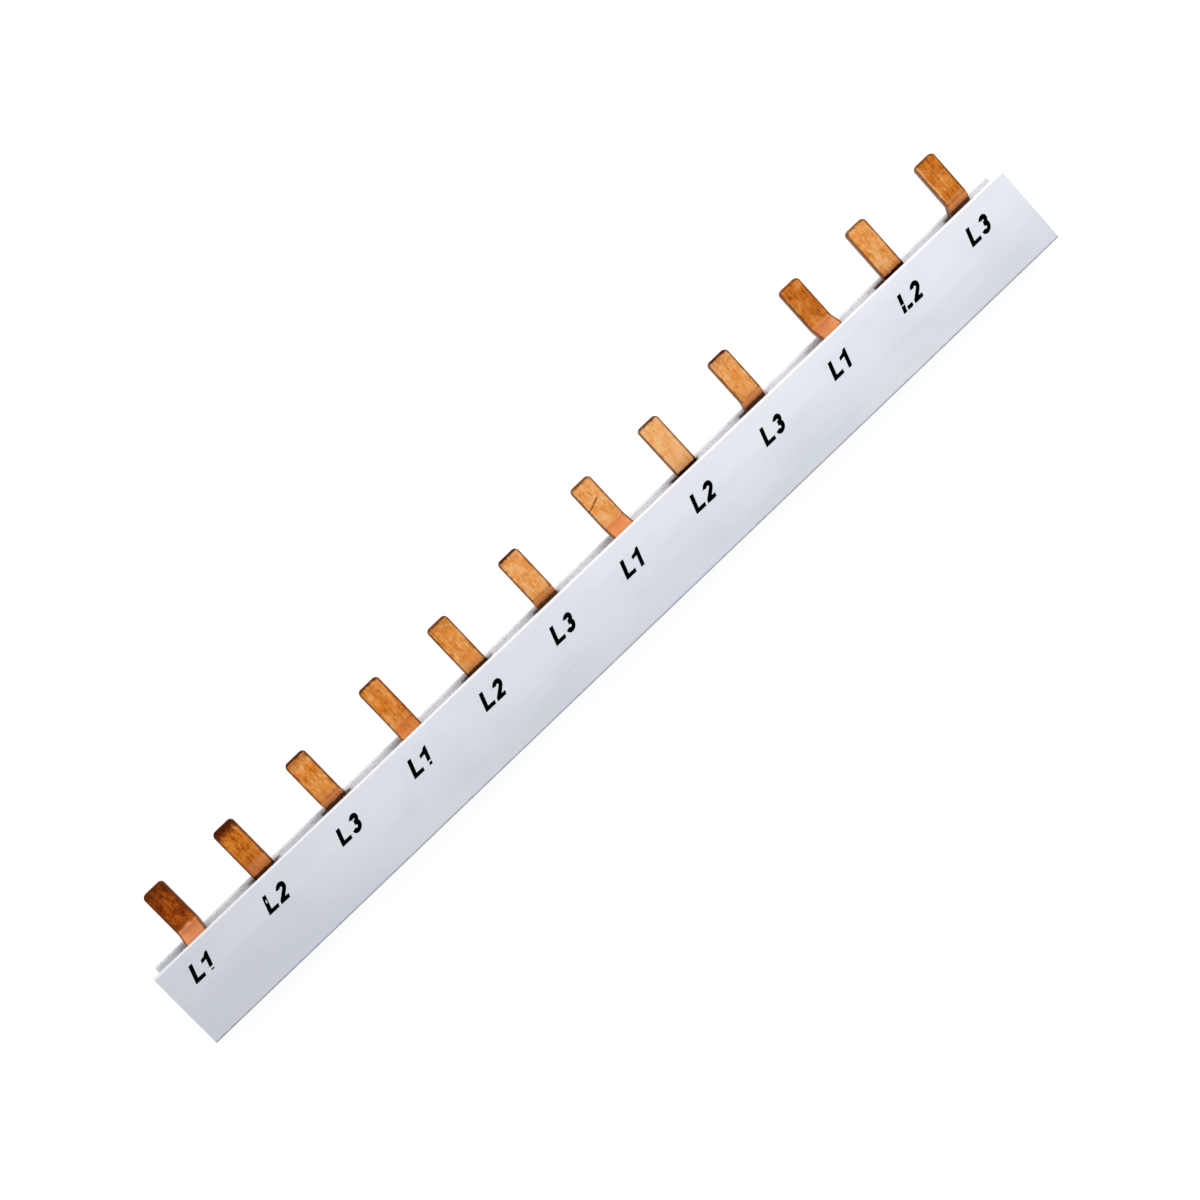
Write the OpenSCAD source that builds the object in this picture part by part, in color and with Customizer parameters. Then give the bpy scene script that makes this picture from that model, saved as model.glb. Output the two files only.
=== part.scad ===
// Three-phase comb busbar, pin type, for a row of modular circuit breakers.
// Three stamped copper combs lie side by side in the chambers of one extruded
// insulating profile. The pins of the two outer combs are joggled over the
// partitions, so all the pins leave the profile in one line.
//
// Frame: the busbar lies on its rear face. +X runs along the bar from the
// first pin to the last, +Y is the way the pins point, +Z leaves the printed
// front face. The origin is the centre of the rear face. Millimetres.

/* [Layout] */
// Distance from one breaker to the next, the width of one module
module_pitch = 17.8; // [17.5:0.1:18.5]
// How many times the sequence of three phases repeats, the pins on each comb
phase_groups = 4; // [2:1:6]

/* [Copper combs] */
// Thickness of the copper strip
strip_t = 1.5; // [1.2:0.1:1.8]
// Height of the bar that joins a comb's pins
bar_h = 10.7; // [8:0.1:11]
// Distance from the profile's cut end to the end of each bar
bar_setback = 3; // [2:0.1:4]
// Radius on the corners of each bar
bar_corner_r = 0.8; // [0.3:0.1:1.5]
// Width of a pin
pin_w = 4.8; // [4:0.1:6]
// How far a seated comb's pins stand out of the profile
pin_reach = 11.1; // [9:0.1:15]
// Radius on the two corners of a pin's tip
pin_tip_r = 0.9; // [0.3:0.1:1.5]
// Length of the coined lead-in at a pin's tip
lead_l = 0.7; // [0.3:0.1:1.2]
// Depth of the lead-in on each face of the strip
lead_t = 0.25; // [0.1:0.05:0.4]
// Fillet between a pin and its bar
pin_root_r = 0.8; // [0.4:0.1:1]
// Inside radius of the joggle's two bends
bend_r = 0.5; // [0.3:0.1:0.7]
// Angle through which each bend turns
bend_angle = 52; // [48:1:70]

/* [Insulating profile] */
// Height of the profile, from its spine to the edges the pins leave between
profile_h = 16.3; // [15.5:0.1:20]
// Thickness of the front and rear walls
outer_wall_t = 1.4; // [1:0.1:2]
// Thickness of the two partitions between the combs
partition_t = 1.5; // [1.2:0.1:2]
// Thickness of the closed spine
spine_t = 1.5; // [1:0.1:1.6]
// How far the partitions end below the outer walls
partition_drop = 2; // [1.8:0.1:2.4]
// Radius on the profile's outer edges
edge_r = 0.4; // [0.2:0.05:0.5]
// Radius on the inner edges of the outer walls
lip_r = 0.3; // [0.1:0.05:0.4]

/* [Fit] */
// Clearance between a bar and each side of its chamber
side_clearance = 0.15; // [0.05:0.05:0.3]
// Height of the joggle's first bend above the top of the partitions
joggle_clearance = 0.15; // [0.05:0.05:0.4]
// How far the front comb has slid along its chamber
front_comb_slide = 1.5; // [-2:0.1:2]
// How far the middle comb has slid along its chamber
middle_comb_slide = 0.4; // [-2:0.1:2]
// How far the rear comb has slid along its chamber
rear_comb_slide = 0.5; // [-2:0.1:2]
// How far the front comb stands clear of its chamber's floor
front_comb_rise = 0.5; // [0:0.1:1]

/* [Hidden] */

$fn = 48;

// Slack that carries a cut past the face it opens
cut = 1;

phases = 3;
modules = phases * phase_groups;
profile_l = modules * module_pitch;

chamber_w = strip_t + 2 * side_clearance;
chamber_pitch = chamber_w + partition_t;
profile_t = 2 * outer_wall_t + phases * chamber_w + (phases - 1) * partition_t;

// Heights along Y, from the middle of the rear face
spine_y = -profile_h / 2;
floor_y = spine_y + spine_t;
edge_y = profile_h / 2;
partition_y = edge_y - partition_drop;
bar_top_y = floor_y + bar_h;
joggle_y = partition_y + joggle_clearance;
tip_y = edge_y + pin_reach;

// The joggle is two bends of the same angle with a straight web between them
bend_steps = 10;
bend_outer_r = bend_r + strip_t;
bend_mid_r = bend_r + strip_t / 2;
web_l = (chamber_pitch - 2 * bend_mid_r * (1 - cos(bend_angle))) / sin(bend_angle);
joggle_h = 2 * bend_mid_r * sin(bend_angle) + web_l * cos(bend_angle);

bar_l = profile_l - 2 * bar_setback;

copper = [0.80, 0.50, 0.27];
front_copper = [0.72, 0.42, 0.22];
insulation = [0.86, 0.88, 0.91];

// Middle of a chamber above the rear face, counted from the rear
function chamber_z(k) = outer_wall_t + chamber_w / 2 + k * chamber_pitch;

// Middle of a module along the bar, counted from the -X end
function module_x(m) = (m - (modules - 1) / 2) * module_pitch;

// Where the pins of a comb stand, from the module of its first pin
function pin_xs(first) = [for (g = [0 : phase_groups - 1]) module_x(first + g * phases)];

// Extrudes a section drawn as (Y, Z) along X, centred on x = 0
module along_x(length)
    rotate([90, 0, 90])
        linear_extrude(length, center = true)
            children();

// What a round of radius r takes off a corner at the origin whose material
// lies towards +x and +y
module corner_waste(r)
    difference() {
        translate([-cut, -cut]) square(r + cut);
        translate([r, r]) circle(r);
    }

// ---- Insulating profile ---------------------------------------------------

module partition_section(z)
    translate([floor_y - cut / 2, z - partition_t / 2]) {
        square([partition_y - partition_t / 2 - floor_y + cut / 2, partition_t]);
        translate([partition_y - partition_t / 2 - floor_y + cut / 2, partition_t / 2])
            circle(d = partition_t);
    }

// A trough with a spine and two outer walls, their edges rounded
module trough_section()
    difference() {
        translate([spine_y, 0]) square([profile_h, profile_t]);
        translate([floor_y, outer_wall_t])
            square([profile_h, profile_t - 2 * outer_wall_t]);
        for (side = [0, 1]) {
            translate([spine_y, side * profile_t]) mirror([0, side]) corner_waste(edge_r);
            translate([edge_y, side * profile_t])
                mirror([1, 0]) mirror([0, side]) corner_waste(edge_r);
            translate([edge_y, side == 0 ? outer_wall_t : profile_t - outer_wall_t])
                mirror([1, 0]) mirror([0, 1 - side]) corner_waste(lip_r);
        }
    }

module profile()
    color(insulation)
        along_x(profile_l) {
            trough_section();
            for (k = [0 : phases - 2])
                partition_section(chamber_z(k) + chamber_pitch / 2);
        }

// ---- Copper combs ---------------------------------------------------------

// Points along an arc about c, from angle a to angle b
function arc(c, r, a, b) =
    [for (i = [0 : bend_steps]) c + r * [cos(a + (b - a) * i / bend_steps),
                                         sin(a + (b - a) * i / bend_steps)]];

// The tip of a strip whose middle plane is at z: coined to a thin lead-in
function tip_points(z) = [
    [tip_y - lead_l, z - strip_t / 2],
    [tip_y, z - strip_t / 2 + lead_t],
    [tip_y, z + strip_t / 2 - lead_t],
    [tip_y - lead_l, z + strip_t / 2]
];

// A straight pin's section, from half way down the bar to the tip
function straight_pin_points() = concat(
    [[floor_y + bar_h / 2, -strip_t / 2]],
    tip_points(0),
    [[floor_y + bar_h / 2, strip_t / 2]]
);

// The section of a pin that steps over one partition, towards +Z
function joggled_pin_points() =
    let (first = [joggle_y, bend_mid_r],
         second = [joggle_y + joggle_h, chamber_pitch - bend_mid_r])
    concat(
        [[floor_y + bar_h / 2, -strip_t / 2]],
        arc(first, bend_outer_r, -90, bend_angle - 90),
        arc(second, bend_r, 90 + bend_angle, 90),
        tip_points(chamber_pitch),
        arc(second, bend_outer_r, 90, 90 + bend_angle),
        arc(first, bend_r, bend_angle - 90, -90),
        [[floor_y + bar_h / 2, strip_t / 2]]
    );

// One pin, centred on x = 0, with the corners of its tip rounded
module pin(section)
    difference() {
        along_x(pin_w) polygon(section);
        for (side = [0, 1])
            mirror([side, 0, 0])
                translate([-pin_w / 2, tip_y, 0])
                    linear_extrude(2 * profile_t, center = true)
                        mirror([0, 1]) corner_waste(pin_tip_r);
    }

// The bar's outline, with a fillet on each side of every pin
module bar_outline(xs) {
    difference() {
        translate([-bar_l / 2, floor_y]) square([bar_l, bar_h]);
        for (side = [0, 1])
            mirror([side, 0]) {
                translate([-bar_l / 2, floor_y]) corner_waste(bar_corner_r);
                translate([-bar_l / 2, bar_top_y]) mirror([0, 1]) corner_waste(bar_corner_r);
            }
    }
    for (x = xs, side = [0, 1])
        translate([x, bar_top_y]) mirror([side, 0]) root_fillet();
}

// The fillet on the +X side of a pin, drawn from the pin's middle line and
// from inside the bar
module root_fillet()
    difference() {
        translate([0, -bar_h / 2]) square([pin_w / 2 + pin_root_r, bar_h / 2 + pin_root_r]);
        translate([pin_w / 2 + pin_root_r, pin_root_r]) circle(pin_root_r);
    }

// A comb whose bar's middle plane is z = 0, with a pin at each of xs
module comb(xs, section) {
    linear_extrude(strip_t, center = true) bar_outline(xs);
    for (x = xs)
        translate([x, 0, 0]) pin(section);
}

module middle_comb()
    color(copper)
        translate([middle_comb_slide, 0, chamber_z(1)])
            comb(pin_xs(1), straight_pin_points());

module rear_comb()
    color(copper)
        translate([rear_comb_slide, 0, chamber_z(0)])
            comb(pin_xs(2), joggled_pin_points());

// The same stamping as the rear comb, turned end for end
module front_comb()
    color(front_copper)
        translate([front_comb_slide, front_comb_rise, chamber_z(2)])
            rotate([0, 180, 0]) comb(pin_xs(2), joggled_pin_points());

profile();
front_comb();
middle_comb();
rear_comb();
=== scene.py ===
"""Looks for a three-phase comb busbar that lies on its rear face.

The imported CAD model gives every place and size. This script dresses it: eased
copies of the extruded profile and the three copper combs, the phase marks
printed on the front face, their materials, and a plain studio.
"""

import math

import bmesh
import bpy
from mathutils import Matrix, Vector

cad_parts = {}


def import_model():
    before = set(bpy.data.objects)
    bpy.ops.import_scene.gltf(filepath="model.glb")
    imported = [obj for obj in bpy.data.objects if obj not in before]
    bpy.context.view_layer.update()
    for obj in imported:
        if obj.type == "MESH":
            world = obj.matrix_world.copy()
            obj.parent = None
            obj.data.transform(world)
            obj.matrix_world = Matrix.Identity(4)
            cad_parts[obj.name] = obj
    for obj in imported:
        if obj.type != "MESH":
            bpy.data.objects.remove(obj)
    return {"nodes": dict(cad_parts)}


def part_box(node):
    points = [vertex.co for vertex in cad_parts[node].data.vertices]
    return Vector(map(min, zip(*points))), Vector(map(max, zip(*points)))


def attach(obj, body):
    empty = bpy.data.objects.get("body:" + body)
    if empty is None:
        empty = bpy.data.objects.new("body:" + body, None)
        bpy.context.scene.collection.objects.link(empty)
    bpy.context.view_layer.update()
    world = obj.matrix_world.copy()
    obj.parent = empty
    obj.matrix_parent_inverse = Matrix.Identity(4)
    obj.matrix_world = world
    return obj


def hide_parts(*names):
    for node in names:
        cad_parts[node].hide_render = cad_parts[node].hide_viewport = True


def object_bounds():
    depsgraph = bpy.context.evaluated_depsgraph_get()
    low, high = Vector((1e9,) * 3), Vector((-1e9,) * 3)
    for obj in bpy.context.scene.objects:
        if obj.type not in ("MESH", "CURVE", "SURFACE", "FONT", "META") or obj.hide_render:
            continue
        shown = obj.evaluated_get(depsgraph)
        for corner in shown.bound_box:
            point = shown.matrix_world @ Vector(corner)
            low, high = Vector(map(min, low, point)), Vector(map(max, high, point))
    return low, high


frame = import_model()
CAD_LOW, CAD_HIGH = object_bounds()

MM = 0.001
ROOT = "root"

# ---- What the frame gives ---------------------------------------------------

PROFILE_LOW, PROFILE_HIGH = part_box("profile")
FACE_Z = PROFILE_HIGH.z
EDGE_Y = PROFILE_HIGH.y

PHASES = ("front_comb", "middle_comb", "rear_comb")
PINS_PER_COMB = 4
MODULES = len(PHASES) * PINS_PER_COMB
PITCH = (PROFILE_HIGH.x - PROFILE_LOW.x) / MODULES


def module_x(module):
    """Middle of a module along the bar, counted from the -X end."""
    return PROFILE_LOW.x + (module + 0.5) * PITCH


# ---- Meshes -----------------------------------------------------------------

WELD = 0.001 * MM
FLAT = math.radians(1)


def link(name, mesh):
    """A new object in the scene that shows this mesh."""
    piece = bpy.data.objects.new(name, mesh)
    bpy.context.scene.collection.objects.link(piece)
    return piece


def whole_faces(node):
    """A CAD node's shape as a clean mesh, its flat faces in one piece each."""
    source = frame["nodes"][node].data
    mesh = bpy.data.meshes.new(node + "_eased")
    mesh.from_pydata(
        [v.co for v in source.vertices], [], [list(p.vertices) for p in source.polygons]
    )
    shape = bmesh.new()
    shape.from_mesh(mesh)
    bmesh.ops.remove_doubles(shape, verts=shape.verts, dist=WELD)
    bmesh.ops.dissolve_limit(
        shape, angle_limit=FLAT, verts=shape.verts, edges=shape.edges
    )
    bmesh.ops.recalc_face_normals(shape, faces=shape.faces)
    shape.to_mesh(mesh)
    shape.free()
    return mesh


def settled(piece):
    """Gives the piece its modifiers' result as its own mesh."""
    graph = bpy.context.evaluated_depsgraph_get()
    made = bpy.data.meshes.new_from_object(piece.evaluated_get(graph))
    piece.modifiers.clear()
    piece.data = made
    return piece


def eased(node, width, steepest):
    """A copy of a CAD node with its edges broken, which stands for that node."""
    piece = link(node + "_finish", whole_faces(node))
    for face in piece.data.polygons:
        face.use_smooth = True
    bevel = piece.modifiers.new("break_edges", "BEVEL")
    bevel.width = width
    bevel.segments = 3
    bevel.limit_method = "ANGLE"
    bevel.angle_limit = steepest
    shading = piece.modifiers.new("flat_faces_stay_flat", "WEIGHTED_NORMAL")
    shading.keep_sharp = False
    bpy.context.view_layer.update()
    settled(piece)
    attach(piece, ROOT)
    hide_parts(node)
    return piece


# ---- Material nodes ---------------------------------------------------------


class Look:
    """Builds the nodes of one material."""

    def __init__(self, name):
        self.material = bpy.data.materials.new(name)
        self.material.use_nodes = True
        self.nodes = self.material.node_tree.nodes
        self.links = self.material.node_tree.links
        self.nodes.clear()
        self.place = self.node("TexCoord").outputs["Object"]

    def node(self, kind, **settings):
        """A shader node with these settings."""
        made = self.nodes.new("ShaderNode" + kind)
        for name, value in settings.items():
            setattr(made, name, value)
        return made

    def feed(self, socket, value):
        """Links the socket to another, or sets it to a plain value."""
        if isinstance(value, bpy.types.NodeSocket):
            self.links.new(value, socket)
        else:
            socket.default_value = value

    def maths(self, operation, a, b=0.0, clamp=False):
        """One sum on one or two numbers."""
        made = self.node("Math", operation=operation, use_clamp=clamp)
        self.feed(made.inputs[0], a)
        self.feed(made.inputs[1], b)
        return made.outputs[0]

    def plus(self, first, *others):
        """The sum of these numbers."""
        for other in others:
            first = self.maths("ADD", first, other)
        return first

    def times(self, first, *others):
        """The product of these numbers."""
        for other in others:
            first = self.maths("MULTIPLY", first, other)
        return first

    def between(self, value, low, high, to_low=0.0, to_high=1.0):
        """The value mapped smoothly from one range to another."""
        made = self.node("MapRange", interpolation_type="SMOOTHSTEP")
        self.feed(made.inputs["Value"], value)
        self.feed(made.inputs["From Min"], low)
        self.feed(made.inputs["From Max"], high)
        self.feed(made.inputs["To Min"], to_low)
        self.feed(made.inputs["To Max"], to_high)
        return made.outputs["Result"]

    def mix(self, share, a, b):
        """Colour a turning into colour b as share goes from 0 to 1."""
        made = self.node("Mix", data_type="RGBA")
        self.feed(made.inputs["Factor"], share)
        self.feed(made.inputs[6], a)
        self.feed(made.inputs[7], b)
        return made.outputs[2]

    def ramp(self, value, stops):
        """The colour at this value, between stops of (value, colour)."""
        made = self.node("ValToRGB")
        ends = made.color_ramp.elements
        for end, (at, colour) in ((ends[0], stops[0]), (ends[1], stops[-1])):
            end.position = at
            end.color = colour
        for at, colour in stops[1:-1]:
            ends.new(at).color = colour
        self.feed(made.inputs[0], value)
        return made.outputs["Color"]

    def choose(self, factor, first, second):
        """The first number where the factor is 0, and the second where it is 1."""
        mixed = self.node("Mix", data_type="FLOAT")
        for socket, value in zip(mixed.inputs[:1] + mixed.inputs[2:4], (factor, first, second)):
            self.feed(socket, value)
        return mixed.outputs[0]

    def noise(self, size, stretch=(1, 1, 1), detail=3.0, roughness=0.55, offset=0.0, turn=0.0):
        """Noise whose features are about this size, longer along stretched axes."""
        turned = self.node("Mapping")
        self.feed(turned.inputs["Vector"], self.place)
        turned.inputs["Rotation"].default_value = (0, 0, turn)
        scaled = self.node("Mapping")
        self.feed(scaled.inputs["Vector"], turned.outputs["Vector"])
        scaled.inputs["Scale"].default_value = [1 / (size * s) for s in stretch]
        scaled.inputs["Location"].default_value = (offset, offset, offset)
        made = self.node("TexNoise")
        made.inputs["Scale"].default_value = 1.0
        made.inputs["Detail"].default_value = detail
        made.inputs["Roughness"].default_value = roughness
        self.links.new(scaled.outputs["Vector"], made.inputs["Vector"])
        return made.outputs["Fac"]

    def axes(self, vector=None):
        """The X, Y and Z of a place, or of another vector."""
        made = self.node("SeparateXYZ")
        self.links.new(vector or self.place, made.inputs[0])
        return made.outputs

    def normal(self):
        """The X, Y and Z of the way the surface faces."""
        return self.axes(self.node("TexCoord").outputs["Normal"])

    def bump(self, height, depth, after=None):
        """A surface raised by height times depth."""
        made = self.node("Bump")
        made.inputs["Distance"].default_value = depth
        self.links.new(height, made.inputs["Height"])
        if after:
            self.links.new(after, made.inputs["Normal"])
        return made.outputs["Normal"]

    def finish(self, **inputs):
        """Ends in a Principled shader with these inputs, and gives the material."""
        surface = self.node("BsdfPrincipled")
        for name, value in inputs.items():
            socket = name.replace("_", " ").title().replace("Ior", "IOR")
            self.feed(surface.inputs[socket], value)
        output = self.node("OutputMaterial")
        self.links.new(surface.outputs[0], output.inputs[0])
        return self.material


def srgb(red, green, blue):
    """A colour written as it shows on a screen, 0 to 255, for a shader socket."""

    def linear(value):
        value /= 255
        return value / 12.92 if value <= 0.04045 else ((value + 0.055) / 1.055) ** 2.4

    return (linear(red), linear(green), linear(blue), 1.0)


# ---- Insulating plastic -----------------------------------------------------

PLASTIC = srgb(217, 220, 228)
# The greyer plastic, for random clouds and streaks and for painted shade
PLASTIC_SHADE = srgb(197, 203, 213)
PLASTIC_CUT = srgb(224, 226, 231)
# Pale plastic for painted highlight on the edges and painted light in the mouth
PLASTIC_PAINTED_LIGHT = srgb(227, 229, 234)
# Painted shade on the front face's edge along the spine
PLASTIC_EDGE_SHADE = srgb(132, 134, 138)
# Dark plastic for grime, and for the painted shadows of the pins
GRIME_AND_PIN_SHADOW = srgb(58, 50, 50)

# The die's and the saw's lines, and the plastic's own grain
LINE_DEPTH = 0.02 * MM
GRAIN_DEPTH = 0.002 * MM

# A fade is a pair of places: where a mark is absent, and where it is full.
# Painted shade makes the -X end greyer than the rest
END_SHADE_FADE = (PROFILE_LOW.x + 60 * MM, PROFILE_LOW.x + 5 * MM)

# A painted highlight makes the outer walls' edges pale, and painted shade darkens the front
# face's other edge
LIP_HIGHLIGHT_FADE = (EDGE_Y - 0.4 * MM, EDGE_Y - 0.2 * MM)
SPINE_EDGE_SHADE_FADE = (0.4 * MM - EDGE_Y, 0.1 * MM - EDGE_Y)
SPINE_EDGE_SHADE_DEPTH_FADE = (FACE_Z - 0.5 * MM, FACE_Z - 0.3 * MM)

# The rear wall, from just above the rear face to just past its inner face, and
# the stretch of it that shows in the mouth
WALL_FADES = (
    (PROFILE_LOW.z + 0.3 * MM, PROFILE_LOW.z + 0.5 * MM),
    (PROFILE_LOW.z + 2.24 * MM, PROFILE_LOW.z + 1.6 * MM),
)
MOUTH_FADE = (EDGE_Y - 2.6 * MM, EDGE_Y - 1.8 * MM)

# The painted shadows beside each pin lie a little way along +X from its module's middle
PIN_SHADOW_SHIFT = 0.2 * MM
PIN_SHADOW_RAGGED = 1.2 * MM
PIN_SHADOW_FADE = (4.2 * MM, 2.8 * MM)
PIN_SHADOW_HEIGHT_FADE = (EDGE_Y - 0.4 * MM, EDGE_Y - 0.75 * MM)


def extruded(look, place, streaks):
    """The plastic's colour: streaked along the bar, with painted shade making it greyer towards
    the spine and the -X end.
    """
    clouds = look.noise(9 * MM, stretch=(2, 1, 1), detail=4, offset=3.1)
    shade = look.plus(
        look.between(clouds, 0.35, 0.7, 0.0, 0.35),
        look.between(streaks, 0.3, 0.8, 0.0, 0.2),
        # Painted shade, greyer towards the spine
        look.between(place["Y"], EDGE_Y, -EDGE_Y, -0.15, 0.6),
    )
    # Painted shade towards the -X end
    painted_end_shade = look.between(place["X"], *END_SHADE_FADE, 0.0, 0.5)
    shade = look.maths("ADD", shade, painted_end_shade, clamp=True)
    return look.mix(shade, PLASTIC, PLASTIC_SHADE)


def shaded_spine_edge(look, place, ragged):
    """1 where painted shade darkens the front face's edge along the spine, made uneven."""
    wander = look.between(ragged, 0.2, 0.8, -0.1 * MM, 0.1 * MM)
    along_spine = look.between(look.plus(place["Y"], wander), *SPINE_EDGE_SHADE_FADE, 0.0, 0.6)
    return look.times(along_spine, look.between(place["Z"], *SPINE_EDGE_SHADE_DEPTH_FADE))


def wall_grime_and_painted_light(look, place, ragged, colour):
    """The colour with patches of painted light, grime and painted shadows of the pins added to
    the rear wall.
    """
    on_wall = look.times(
        look.between(place["Z"], *WALL_FADES[0]),
        look.between(place["Z"], *WALL_FADES[1]),
        look.between(place["Y"], *MOUTH_FADE),
    )
    # Paler patches of painted light on the rear wall inside the mouth
    patches = look.noise(7 * MM, stretch=(2, 1, 1), detail=3, offset=9.4)
    paler = look.times(on_wall, look.between(patches, 0.38, 0.62, 0.0, 0.6))
    colour = look.mix(paler, colour, PLASTIC_PAINTED_LIGHT)

    grime = look.noise(0.45 * MM, stretch=(1.6, 1, 1), detail=4, roughness=0.7, offset=2.9)
    grime = look.times(on_wall, look.between(grime, 0.45, 0.72, 0.0, 0.3))
    colour = look.mix(grime, colour, GRIME_AND_PIN_SHADOW)

    # Painted shadow of each pin on the rear wall, as strong as the pin's painted foot shade
    beside = look.maths("ABSOLUTE", across_pin(look, PIN_SHADOW_SHIFT))
    reach = look.plus(beside, look.between(ragged, 0, 1, -PIN_SHADOW_RAGGED, PIN_SHADOW_RAGGED))
    pin_shadow = look.times(
        on_wall,
        look.between(place["Y"], *PIN_SHADOW_HEIGHT_FADE),
        look.between(reach, *PIN_SHADOW_FADE),
        by_module(look, each("foot")),
    )
    return look.mix(pin_shadow, colour, GRIME_AND_PIN_SHADOW)


def plastic_look():
    """Light bluish grey extruded plastic, with painted shade, painted highlights and painted
    shadows of the pins, its ends cut with a saw.
    """
    look = Look("profile_plastic")
    place = look.axes()
    streaks = look.noise(0.5 * MM, stretch=(90, 1, 1), detail=2)
    ragged = look.noise(0.8 * MM, detail=4, offset=5.3)

    colour = extruded(look, place, streaks)
    cut = look.between(look.maths("ABSOLUTE", look.normal()["X"]), 0.7, 0.95)
    colour = look.mix(cut, colour, PLASTIC_CUT)
    # Painted highlight on the walls' edges by the pins
    lip_highlight = look.between(place["Y"], *LIP_HIGHLIGHT_FADE, 0.0, 0.8)
    colour = look.mix(lip_highlight, colour, PLASTIC_PAINTED_LIGHT)
    # Painted shade along the spine edge
    colour = look.mix(shaded_spine_edge(look, place, ragged), colour, PLASTIC_EDGE_SHADE)
    colour = wall_grime_and_painted_light(look, place, ragged, colour)

    saw = look.noise(0.14 * MM, stretch=(1, 25, 1), detail=1)
    grain = look.noise(0.12 * MM, detail=2)
    lines = look.bump(look.choose(cut, look.times(streaks, 0.3), saw), LINE_DEPTH)
    bump = look.bump(grain, GRAIN_DEPTH, lines)
    rough = look.between(streaks, 0.2, 0.8, 0.40, 0.50)
    return look.finish(base_color=colour, roughness=rough, normal=bump)


# ---- Copper -----------------------------------------------------------------

# From the brownest copper to the palest
COPPER_TONES = (
    (0.00, srgb(96, 36, 12)),
    (0.20, srgb(139, 62, 14)),
    (0.50, srgb(200, 112, 34)),
    (0.65, srgb(212, 137, 63)),
    (0.80, srgb(232, 160, 88)),
    (1.00, srgb(242, 188, 130)),
)
BAR_TONE = 0.55
# Painted highlight on the bends
COPPER_BEND_HIGHLIGHT = srgb(238, 158, 104)
COPPER_SHINE = srgb(236, 138, 48)
# Paler copper, painted light on the bend that faces into the mouth
COPPER_PAINTED_BEND_LIGHT = srgb(250, 166, 96)
COPPER_STAIN = srgb(80, 30, 14)
COPPER_EDGE = srgb(92, 52, 30)
# Painted shade at the pins' feet
COPPER_FOOT_SHADE = srgb(40, 14, 9)
COPPER_SCRATCH = srgb(140, 84, 40)

# Where each mark on the pins fades in, of use or of painted highlight and shade. From the tip
# down
TIP_FADE = (2.9 * MM, 0.5 * MM)
RIM_FADE = (0.7 * MM, 0.25 * MM)

# From the profile's edge up
BEND_HIGHLIGHT_FADE = (2.9 * MM, 1.9 * MM)
FOOT_FADE = (0.4 * MM, 0.0)
FOOT_END_FADE = (-1.6 * MM, -0.8 * MM)

# From the -X side, from both sides, and from the top of the bar up
LEFT_FADE = (0.9 * MM, 0.4 * MM)
WORN_FADE = (0.5 * MM, 0.12 * MM)
ROOT_FADE = (-0.2 * MM, 0.4 * MM)

# The deep scratch crosses its pin this far below the tip, and rises along the bar
GOUGE_DROP = 4.5 * MM
GOUGE_SLOPE = 0.36
GOUGE_FADE = (0.24 * MM, 0.06 * MM)
GOUGE_END_FADE = (1.1 * MM, 0.5 * MM)

SCRATCH_TURN = math.radians(-28)
ROLLED_DEPTH = 0.004 * MM
MOTTLE_DEPTH = 0.02 * MM


class Pin:
    """How one pin looks: its tone from 0, brown, to 1, pale, its marks of use, and its painted
    highlight and shade.
    """

    def __init__(
        self, tone, tip=0.0, rim=0.4, left=0.0, bend_highlight=0.0, foot=0.2, scratched=0.1, gouge=0.0
    ):
        self.tone = tone
        # Dark stain over the tip, and a thin dark rim at its very end
        self.tip = tip
        self.rim = rim
        # The strip along the -X side, above 0 if paler than the rest
        self.left = left
        # Painted highlight on the bend by the profile, and the painted shade of the dark line
        # below it
        self.bend_highlight = bend_highlight
        self.foot = foot
        # Fine scratches, and one deep dark one across the pin
        self.scratched = scratched
        self.gouge = gouge


# From the -X end of the bar
PINS = (
    Pin(0.19, tip=0.6, left=-0.2, bend_highlight=0.95, foot=0.25),
    Pin(0.46, tip=1.0, left=-0.1, bend_highlight=0.4, foot=0.85),
    Pin(0.66, tip=0.35, rim=1.0, left=-0.1, bend_highlight=0.3, foot=0.9),
    Pin(0.62, rim=0.9, left=-0.1, bend_highlight=0.3, foot=0.2),
    Pin(0.72, tip=0.2, rim=0.85, bend_highlight=0.2, foot=0.9),
    Pin(0.83, tip=0.1, rim=1.0, bend_highlight=0.1, foot=0.85, scratched=0.2),
    Pin(0.84, rim=0.8, left=0.35, bend_highlight=0.95, foot=0.1, scratched=0.3, gouge=1.0),
    Pin(0.97, rim=0.9, left=0.4, bend_highlight=0.1, foot=1.0),
    Pin(0.80, tip=0.2, rim=1.0, left=-0.3, bend_highlight=0.2, foot=0.9),
    Pin(0.50, rim=0.6, left=0.1, bend_highlight=0.95, foot=0.15, scratched=0.6),
    Pin(0.82, rim=0.7, left=-0.8, bend_highlight=0.1, foot=1.0),
    Pin(0.53, rim=0.6, left=1.0, bend_highlight=0.3, foot=0.9, scratched=0.3),
)

# A pin is measured past this height above the profile's edge, and a bar
# within this distance of its +X end
PIN_CLEAR = 5 * MM
BAR_END = 1 * MM


def each(quality):
    """One quality of every pin, from the -X end."""
    return [getattr(pin, quality) for pin in PINS]


def comb_slide(comb):
    """How far a comb lies off the middle of the profile, along its chamber."""
    low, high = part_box(comb)
    return (low.x + high.x - PROFILE_LOW.x - PROFILE_HIGH.x) / 2


def pin_width(comb):
    """The width of a comb's pins, measured well clear of the profile."""
    points = [v.co for v in frame["nodes"][comb].data.vertices]
    ends = sorted(p.x for p in points if p.y > EDGE_Y + PIN_CLEAR)
    return max(x for x in ends if x < ends[0] + PITCH) - ends[0]


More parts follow.
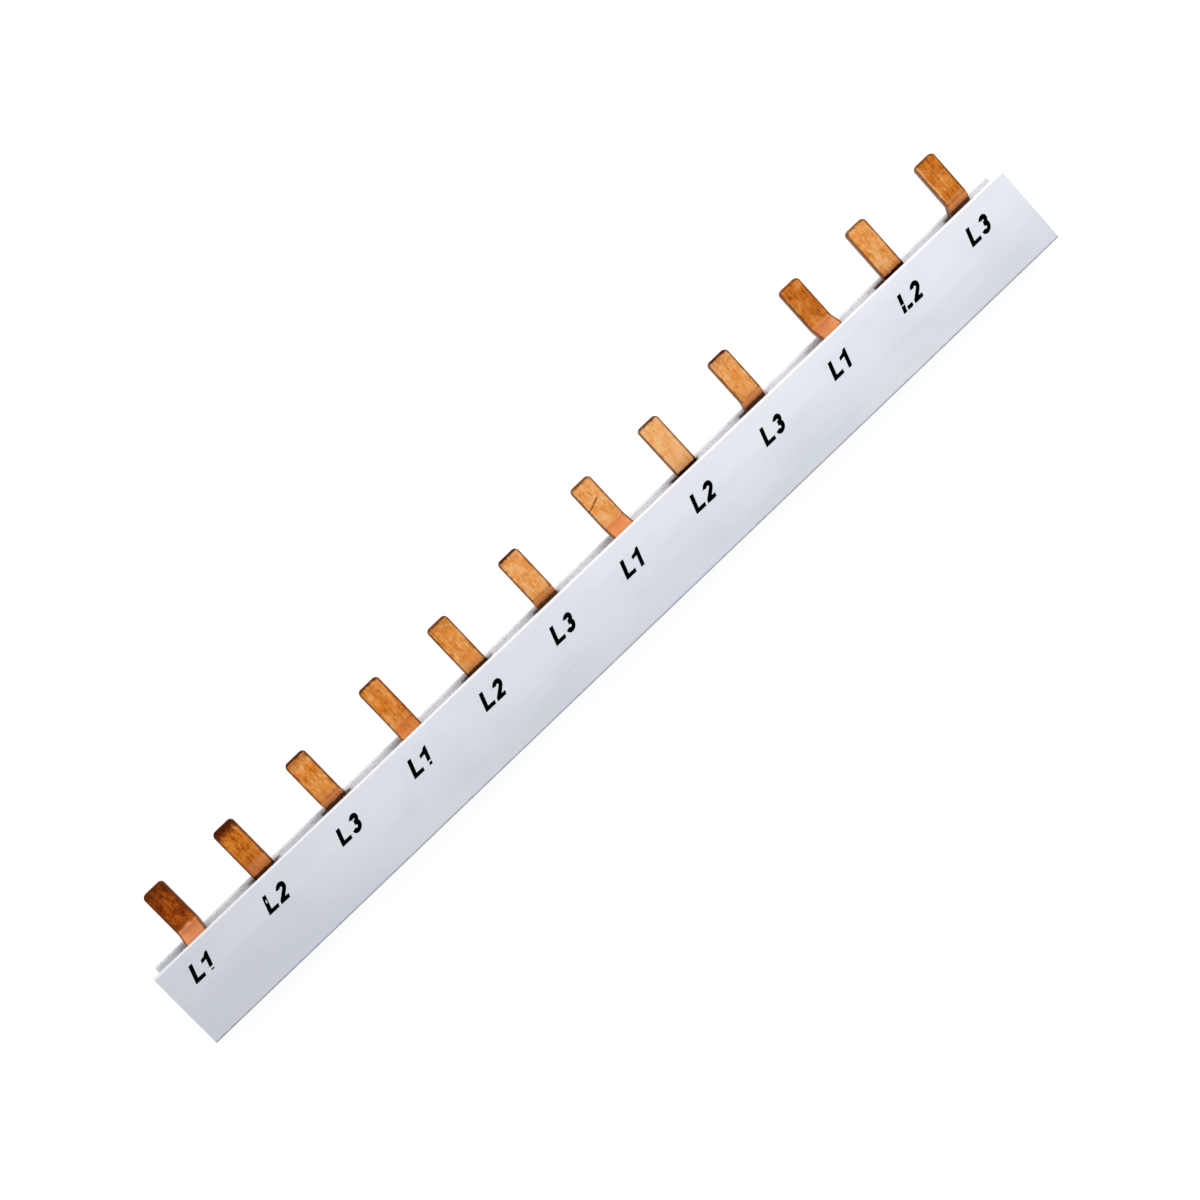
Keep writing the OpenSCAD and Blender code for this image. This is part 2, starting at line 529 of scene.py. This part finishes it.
def bar_top(comb):
    """The height along Y of the bar that joins a comb's pins."""
    last_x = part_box(comb)[1].x
    points = [v.co for v in frame["nodes"][comb].data.vertices]
    return max(p.y for p in points if p.x > last_x - BAR_END)


def along_modules(look, slide):
    """How many modules lie between the profile's -X end and a place on a comb."""
    past_end = look.maths("SUBTRACT", look.axes()["X"], PROFILE_LOW.x + slide)
    return look.maths("DIVIDE", past_end, PITCH)


def across_pin(look, slide):
    """The place along the bar, from the middle of the nearest pin."""
    within = look.maths("FRACT", along_modules(look, slide))
    return look.maths("MULTIPLY", look.maths("SUBTRACT", within, 0.5), PITCH)


def by_module(look, values):
    """One value for each module along the bar."""
    steps = look.node("ValToRGB")
    ramp = steps.color_ramp
    ramp.interpolation = "CONSTANT"
    for module, value in enumerate(values[1:], start=1):
        ramp.elements.new(module / MODULES).color = (value, value, value, 1)
    ramp.elements[0].color = (values[0], values[0], values[0], 1)
    ramp.elements.remove(ramp.elements[-1])
    look.feed(steps.inputs[0], look.maths("DIVIDE", along_modules(look, 0.0), MODULES))
    return steps.outputs["Color"]


class OnComb:
    """Where a place on a comb lies, as sockets of the comb's look."""

    def __init__(self, look, comb):
        place = look.axes()
        half_width = pin_width(comb) / 2
        self.look = look
        self.across = across_pin(look, comb_slide(comb))
        self.from_left = look.plus(self.across, half_width)
        aside = look.maths("ABSOLUTE", self.across)
        self.from_side = look.maths("SUBTRACT", half_width, aside)
        self.from_tip = look.maths("SUBTRACT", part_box(comb)[1].y, place["Y"])
        self.past_edge = look.maths("SUBTRACT", place["Y"], EDGE_Y)
        self.past_bar = look.maths("SUBTRACT", place["Y"], bar_top(comb))
        self.on_pin = look.between(self.past_bar, *ROOT_FADE)
        self.facing = look.normal()
        self.mottle = look.noise(0.55 * MM, stretch=(1, 1.8, 1), detail=5, roughness=0.68)
        self.rolled = look.noise(0.16 * MM, stretch=(1, 22, 1), detail=2, offset=1.7)

    def ragged(self, value, by):
        """The value, made uneven by the mottle by up to this much either way."""
        return self.look.plus(value, self.look.between(self.mottle, 0.2, 0.8, -by, by))

    def mark(self, quality, *masks):
        """The masks' product, as strong as this quality of each pin."""
        return self.look.times(masks[0], by_module(self.look, each(quality)), *masks[1:])


def tarnish(look, on):
    """The comb's colour: one tone for each pin, and one for the bar."""
    blotches = look.noise(3.0 * MM, detail=3, offset=7.7)
    tone = look.choose(on.on_pin, BAR_TONE, by_module(look, each("tone")))
    tone = look.plus(
        on.ragged(tone, 0.24),
        look.between(blotches, 0.3, 0.7, -0.10, 0.10),
        look.between(on.rolled, 0.25, 0.75, -0.10, 0.10),
    )
    left = on.mark("left", look.between(on.from_left, *LEFT_FADE, 0.0, 0.35))
    tone = look.maths("ADD", tone, left, clamp=True)
    colour = look.ramp(tone, COPPER_TONES)
    shine = look.noise(1.3 * MM, stretch=(1, 1.5, 1), detail=3, offset=4.4)
    shine = look.times(look.between(shine, 0.45, 0.7), look.between(tone, 0.3, 0.6, 0.1, 0.5))
    return look.mix(shine, colour, COPPER_SHINE)


def scratches(look, on):
    """1 in the pins' fine scratches and in the one deep one."""
    fine = look.noise(0.13 * MM, stretch=(14, 1, 1), detail=1, offset=2.3, turn=SCRATCH_TURN)
    fine = on.mark("scratched", look.between(fine, 0.60, 0.70))
    drop = on.ragged(look.plus(on.from_tip, look.times(on.across, GOUGE_SLOPE)), 0.15 * MM)
    off_line = look.maths("ABSOLUTE", look.maths("SUBTRACT", drop, GOUGE_DROP))
    line = look.between(off_line, *GOUGE_FADE)
    deep = on.mark("gouge", line, look.between(on.across, *GOUGE_END_FADE))
    return look.maths("MAXIMUM", fine, deep)


def copper_look(comb):
    """Punched copper strip, tarnished unevenly from pin to pin, with painted light and shade on
    the bends and at the pins' feet.
    """
    look = Look(comb + "_copper")
    on = OnComb(look, comb)
    facing = on.facing

    colour = tarnish(look, on)
    # Painted highlight on the bend by the profile
    bend_highlight = look.between(on.ragged(on.past_edge, 0.5 * MM), *BEND_HIGHLIGHT_FADE)
    colour = look.mix(on.mark("bend_highlight", bend_highlight, on.on_pin), colour, COPPER_BEND_HIGHLIGHT)

    tip = on.mark("tip", look.between(on.ragged(on.from_tip, 0.7 * MM), *TIP_FADE))
    rim = on.mark("rim", look.between(on.ragged(on.from_tip, 0.2 * MM), *RIM_FADE))
    colour = look.mix(look.maths("MAXIMUM", tip, rim), colour, COPPER_STAIN)
    colour = look.mix(scratches(look, on), colour, COPPER_SCRATCH)

    worn = look.between(on.ragged(on.from_side, 0.08 * MM), *WORN_FADE, 0.0, 0.85)
    worn = look.times(worn, on.on_pin)
    sheared = look.between(look.maths("ABSOLUTE", facing["X"]), 0.35, 0.75, 0.0, 0.85)
    colour = look.mix(look.maths("MAXIMUM", worn, sheared), colour, COPPER_EDGE)

    # The bend that faces into the mouth is made dull, and given a paler copper, painted light
    # where it would mirror the dark mouth
    dull_and_painted_light = look.times(on.on_pin, look.between(facing["Y"], -0.08, -0.45))
    colour = look.mix(dull_and_painted_light, colour, COPPER_PAINTED_BEND_LIGHT)

    # Painted shade: a dark line at the foot of each pin, where it rises from the mouth
    foot = on.mark(
        "foot",
        look.between(on.ragged(on.past_edge, 0.15 * MM), *FOOT_FADE),
        look.between(on.past_edge, *FOOT_END_FADE),
        look.between(facing["Z"], 0.1, 0.4),
    )
    colour = look.mix(foot, colour, COPPER_FOOT_SHADE)

    bump = look.bump(on.rolled, ROLLED_DEPTH, look.bump(on.mottle, MOTTLE_DEPTH))
    rough = look.between(on.mottle, 0.3, 0.7, 0.34, 0.50)
    rough = look.plus(rough, look.times(dull_and_painted_light, 0.35))
    metal = look.between(dull_and_painted_light, 0.0, 1.0, 1.0, 0.35)
    return look.finish(base_color=colour, metallic=metal, roughness=rough, normal=bump)


# ---- Printed phase marks ----------------------------------------------------

CAP_HEIGHT = 3.38 * MM
STROKE = 0.84 * MM
BASE_STROKE = 0.85 * STROKE
INK_T = 0.02 * MM
SLANT = math.tan(math.radians(19))

LETTER_W = 2.4 * MM
DIGIT_LEFT = 2.90 * MM
DIGIT_RIGHT = 5.12 * MM

# The marks start this far before the middle of a module, a little less each time
MARK_LEAD = 4.2 * MM
MARK_SHORTFALL = 0.04 * MM

# How far each mark lies past that even place, along the bar
MARK_SLIPS = [
    MM * slip
    for slip in (0.1, 0.25, 0.35, 0.35, 0.3, 0.05, -0.1, -0.25, -0.2, -0.35, -0.15, -0.05)
]

# The baseline lies this far below the pins' edge at BASELINE_LOW_X, and climbs
# away from there on both sides: over the soft length, and then by a slope
BASELINE_DROP = 7.05 * MM
BASELINE_LOW_X = 30 * MM
BASELINE_CLIMB = 0.009
BASELINE_SOFT = 17 * MM


def arc(centre, radius, start, end, steps=14):
    """Points along an arc, its angles in degrees."""
    turns = [math.radians(start + (end - start) * i / steps) for i in range(steps + 1)]
    return [
        (centre[0] + radius * math.cos(a), centre[1] + radius * math.sin(a)) for a in turns
    ]


def meeting(first, first_radius, second, second_radius):
    """The angles in degrees, from each centre, of the right one of two circles' crossings."""
    apart = Vector(second) - Vector(first)
    reach = (apart.length_squared + first_radius**2 - second_radius**2) / (2 * apart.length)
    side = math.sqrt(first_radius**2 - reach**2)
    onward = apart.normalized()
    across = Vector((-onward.y, onward.x))
    point = Vector(first) + reach * onward + side * across
    from_first, from_second = point - Vector(first), point - Vector(second)
    return (
        math.degrees(math.atan2(from_first.y, from_first.x)),
        math.degrees(math.atan2(from_second.y, from_second.x)),
    )


def letter_l():
    """An upright L with its corner at the origin."""
    return [
        (0, 0),
        (LETTER_W, 0),
        (LETTER_W, BASE_STROKE),
        (STROKE, BASE_STROKE),
        (STROKE, CAP_HEIGHT),
        (0, CAP_HEIGHT),
    ]


def digit_1():
    """A 1 with a flag and no foot."""
    left = 3.60 * MM
    right = left + 0.95 * STROKE
    flag_end = left - 1.0 * MM
    flag_top = CAP_HEIGHT - 0.7 * MM
    flag_root = CAP_HEIGHT - 1.15 * MM
    return [
        (left, 0),
        (right, 0),
        (right, CAP_HEIGHT),
        (right - 0.5 * MM, CAP_HEIGHT),
        (left - 0.2 * MM, flag_top + 0.2 * MM),
        (flag_end, flag_top),
        (flag_end, flag_root - 0.2 * MM),
        (left, flag_root),
    ]


def digit_2():
    """A 2: a bowl that runs down to a straight base."""
    outer = (DIGIT_RIGHT - DIGIT_LEFT) / 2
    inner = outer - STROKE
    bowl = (DIGIT_LEFT + outer, CAP_HEIGHT - outer)
    base_right = DIGIT_RIGHT - 0.15 * MM
    return (
        [(DIGIT_LEFT, 0), (base_right, 0), (base_right, BASE_STROKE)]
        + [(DIGIT_LEFT + 1.5 * STROKE, BASE_STROKE)]
        + arc(bowl, outer, -40, 172)
        + arc(bowl, inner, 172, -30)
        + [(DIGIT_LEFT, 0.75 * STROKE)]
    )


def digit_3():
    """A 3: two bowls that meet at the waist."""
    waist = 1.78 * MM
    upper_outer = (CAP_HEIGHT - waist + STROKE / 2) / 2
    lower_outer = (waist + STROKE / 2) / 2
    upper = (DIGIT_RIGHT - 0.08 * MM - upper_outer, CAP_HEIGHT - upper_outer)
    lower = (DIGIT_RIGHT - lower_outer, lower_outer)
    upper_end, lower_start = meeting(upper, upper_outer, lower, lower_outer)
    stub = upper[0] - 0.2 * MM
    return (
        arc(upper, upper_outer, 165, upper_end)
        + arc(lower, lower_outer, lower_start, -165)
        + arc(lower, lower_outer - STROKE, -165, 90)
        + [(stub, waist - STROKE / 2), (stub, waist + STROKE / 2)]
        + arc(upper, upper_outer - STROKE, -90, 165)
    )


DIGITS = (digit_1, digit_2, digit_3)

# Where the ink is missing: (module, left, bottom, right, top) on the upright mark
BARE_SPOTS = (
    (0, DIGIT_LEFT, 0.26 * MM, DIGIT_RIGHT, 0.62 * MM),
    (0, DIGIT_LEFT, 0, 3.75 * MM, 0.26 * MM),
    (1, 0.38 * MM, 2.00 * MM, 0.62 * MM, 2.60 * MM),
    (2, 0, CAP_HEIGHT - 0.3 * MM, STROKE, CAP_HEIGHT),
    (3, DIGIT_LEFT, 0.50 * MM, DIGIT_RIGHT, 0.80 * MM),
    (3, DIGIT_LEFT, 0, 3.75 * MM, 0.50 * MM),
    (10, 0, 1.30 * MM, STROKE, 1.50 * MM),
    (10, STROKE - 0.05 * MM, 0, STROKE + 0.28 * MM, STROKE),
)


def rub_out(ink, left, bottom, right, top):
    """Takes the ink away inside a box."""
    for middle, way in (
        ((left, 0, 0), (1, 0, 0)),
        ((right, 0, 0), (1, 0, 0)),
        ((0, bottom, 0), (0, 1, 0)),
        ((0, top, 0), (0, 1, 0)),
    ):
        everything = list(ink.verts) + list(ink.edges) + list(ink.faces)
        bmesh.ops.bisect_plane(ink, geom=everything, plane_co=middle, plane_no=way)
    gone = []
    for face in ink.faces:
        spot = face.calc_center_bounds()
        if left < spot.x < right and bottom < spot.y < top:
            gone.append(face)
    bmesh.ops.delete(ink, geom=gone, context="FACES")


def mark(module):
    """The phase's name printed in front of one pin: L and a digit."""
    ink = bmesh.new()
    for outline in (letter_l(), DIGITS[module % len(PHASES)]()):
        corners = [ink.verts.new((x, y, 0)) for x, y in outline]
        ink.faces.new(corners)
    bmesh.ops.dissolve_degenerate(ink, dist=0.01 * MM, edges=ink.edges)
    for spot_module, *box in BARE_SPOTS:
        if spot_module == module:
            rub_out(ink, *box)
    bmesh.ops.recalc_face_normals(ink, faces=ink.faces)
    grown = bmesh.ops.extrude_face_region(ink, geom=list(ink.faces))
    raised = [v for v in grown["geom"] if isinstance(v, bmesh.types.BMVert)]
    bmesh.ops.translate(ink, verts=raised, vec=(0, 0, INK_T))
    bmesh.ops.recalc_face_normals(ink, faces=ink.faces)

    x = module_x(module) - MARK_LEAD - module * MARK_SHORTFALL + MARK_SLIPS[module]
    past_low = x - BASELINE_LOW_X
    reach = math.hypot(past_low, BASELINE_SOFT)
    y = EDGE_Y - BASELINE_DROP + BASELINE_CLIMB * (reach - BASELINE_SOFT)
    lean = Matrix(((1, SLANT, 0, 0), (0, 1, 0, 0), (0, 0, 1, 0), (0, 0, 0, 1)))
    turn = Matrix.Rotation(math.atan(BASELINE_CLIMB * past_low / reach), 4, "Z")
    ink.transform(Matrix.Translation((x, y, FACE_Z)) @ turn @ lean)

    name = "mark_%02d" % (module + 1)
    mesh = bpy.data.meshes.new(name)
    ink.to_mesh(mesh)
    ink.free()
    piece = link(name, mesh)
    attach(piece, ROOT)
    return piece


def ink_look():
    """Matt black marking ink, thin in places."""
    look = Look("print_ink")
    thin = look.noise(0.22 * MM, detail=4)
    colour = look.mix(look.between(thin, 0.62, 0.80), srgb(0, 1, 4), srgb(26, 28, 36))
    return look.finish(base_color=colour, roughness=0.7, specular_ior_level=0.0)


# ---- Studio -----------------------------------------------------------------

# From the middle of the printed face to the point the camera looks at
AIM_SHIFT = Vector((-1.74, 2.05, 0)) * MM
CAMERA_AZIMUTH = math.radians(3.8)
CAMERA_TILT = math.radians(8.4)
CAMERA_TURN = math.radians(43.12)
CAMERA_DISTANCE = 450 * MM
CAMERA_LENS = 74.12


def camera():
    """Looks down on the front face, a little from the pins' side."""
    az, tilt, turn = CAMERA_AZIMUTH, CAMERA_TILT, CAMERA_TURN
    back = Vector((-math.sin(az) * math.cos(tilt), math.sin(tilt), math.cos(az) * math.cos(tilt)))
    level = Vector((math.cos(az), 0, math.sin(az)))
    rise = back.cross(level)
    right = math.cos(turn) * level - math.sin(turn) * rise
    up = math.sin(turn) * level + math.cos(turn) * rise
    aim = Vector((0, (PROFILE_LOW.y + PROFILE_HIGH.y) / 2, FACE_Z)) + AIM_SHIFT
    lens = bpy.data.cameras.new("camera")
    lens.lens = CAMERA_LENS
    eye = bpy.data.objects.new("camera", lens)
    bpy.context.scene.collection.objects.link(eye)
    turned = Matrix((right, up, back)).transposed()
    eye.matrix_world = Matrix.Translation(aim + back * CAMERA_DISTANCE) @ turned.to_4x4()
    bpy.context.scene.camera = eye


def seen_directly(tree):
    """1 where the camera sees a surface, straight or in metal or glass, and 0 in its light."""
    path = tree.nodes.new("ShaderNodeLightPath")
    total = path.outputs["Is Camera Ray"]
    for name in ("Is Glossy Ray", "Is Transmission Ray"):
        both = tree.nodes.new("ShaderNodeMath")
        both.operation = "MAXIMUM"
        tree.links.new(total, both.inputs[0])
        tree.links.new(path.outputs[name], both.inputs[1])
        total = both.outputs[0]
    return total


# The floor's size in metres, its grey, and the glow that whitens it where it is seen
FLOOR_SIZE = 4.0
FLOOR_COLOUR = 0.34
FLOOR_LIFT = 0.83

# The sky's light on what isn't seen directly
WORLD_LEVEL = 0.50


def floor():
    """A white floor that keeps the object's shadow."""
    mesh = bpy.data.meshes.new("floor")
    half = FLOOR_SIZE / 2
    plan = ((-half, -half), (half, -half), (half, half), (-half, half))
    corners = [(x, y, CAD_LOW.z) for x, y in plan]
    mesh.from_pydata(corners, [], [(0, 1, 2, 3)])
    plane = link("floor", mesh)
    material = bpy.data.materials.new("floor")
    material.use_nodes = True
    tree = material.node_tree
    surface = tree.nodes["Principled BSDF"]
    surface.inputs["Base Color"].default_value = (FLOOR_COLOUR, FLOOR_COLOUR, FLOOR_COLOUR, 1)
    surface.inputs["Roughness"].default_value = 0.9
    surface.inputs["Specular IOR Level"].default_value = 0.0
    surface.inputs["Emission Color"].default_value = (1, 1, 1, 1)
    lift = tree.nodes.new("ShaderNodeMath")
    lift.operation = "MULTIPLY"
    tree.links.new(seen_directly(tree), lift.inputs[0])
    lift.inputs[1].default_value = FLOOR_LIFT
    tree.links.new(lift.outputs[0], surface.inputs["Emission Strength"])
    mesh.materials.append(material)


def world():
    """An even pale sky that is white where it is seen."""
    sky = bpy.data.worlds.new("world")
    sky.use_nodes = True
    tree = sky.node_tree
    glow = tree.nodes["Background"]
    glow.inputs["Color"].default_value = (1, 1, 1, 1)
    level = tree.nodes.new("ShaderNodeMapRange")
    tree.links.new(seen_directly(tree), level.inputs["Value"])
    level.inputs["To Min"].default_value = WORLD_LEVEL
    level.inputs["To Max"].default_value = 1.0
    tree.links.new(level.outputs[0], glow.inputs["Strength"])
    bpy.context.scene.world = sky


# The key lamp, in metres and watts
KEY_FROM = (0.27, 0.50, 0.50)
KEY_DISTANCE = 0.50
KEY_SIZE = 0.50
KEY_POWER = 2.9
KEY_COLOUR = (1.0, 0.985, 0.955)


def softbox(name, direction, distance, size, power, colour):
    """A square lamp that faces the middle of the object."""
    lamp = bpy.data.lights.new(name, "AREA")
    lamp.shape = "SQUARE"
    lamp.size = size
    lamp.energy = power
    lamp.color = colour
    held = bpy.data.objects.new(name, lamp)
    bpy.context.scene.collection.objects.link(held)
    back = Vector(direction).normalized()
    held.location = back * distance
    held.rotation_mode = "QUATERNION"
    held.rotation_quaternion = back.to_track_quat("Z", "Y")
    # The pale sky alone shows in the metal
    held.visible_camera = False
    held.visible_glossy = False


# ---- The dressed busbar -----------------------------------------------------

PROFILE_EASE = 0.06 * MM
COMB_EASE = 0.12 * MM
EASE_FROM = math.radians(20)

bpy.context.scene.view_settings.view_transform = "Standard"
camera()
world()
floor()
softbox("key", KEY_FROM, KEY_DISTANCE, KEY_SIZE, KEY_POWER, KEY_COLOUR)

profile = eased("profile", PROFILE_EASE, EASE_FROM)
profile.data.materials.clear()
profile.data.materials.append(plastic_look())

for comb in PHASES:
    piece = eased(comb, COMB_EASE, EASE_FROM)
    piece.data.materials.clear()
    piece.data.materials.append(copper_look(comb))

ink = ink_look()
for module in range(MODULES):
    mark(module).data.materials.append(ink)

bpy.context.view_layer.update()
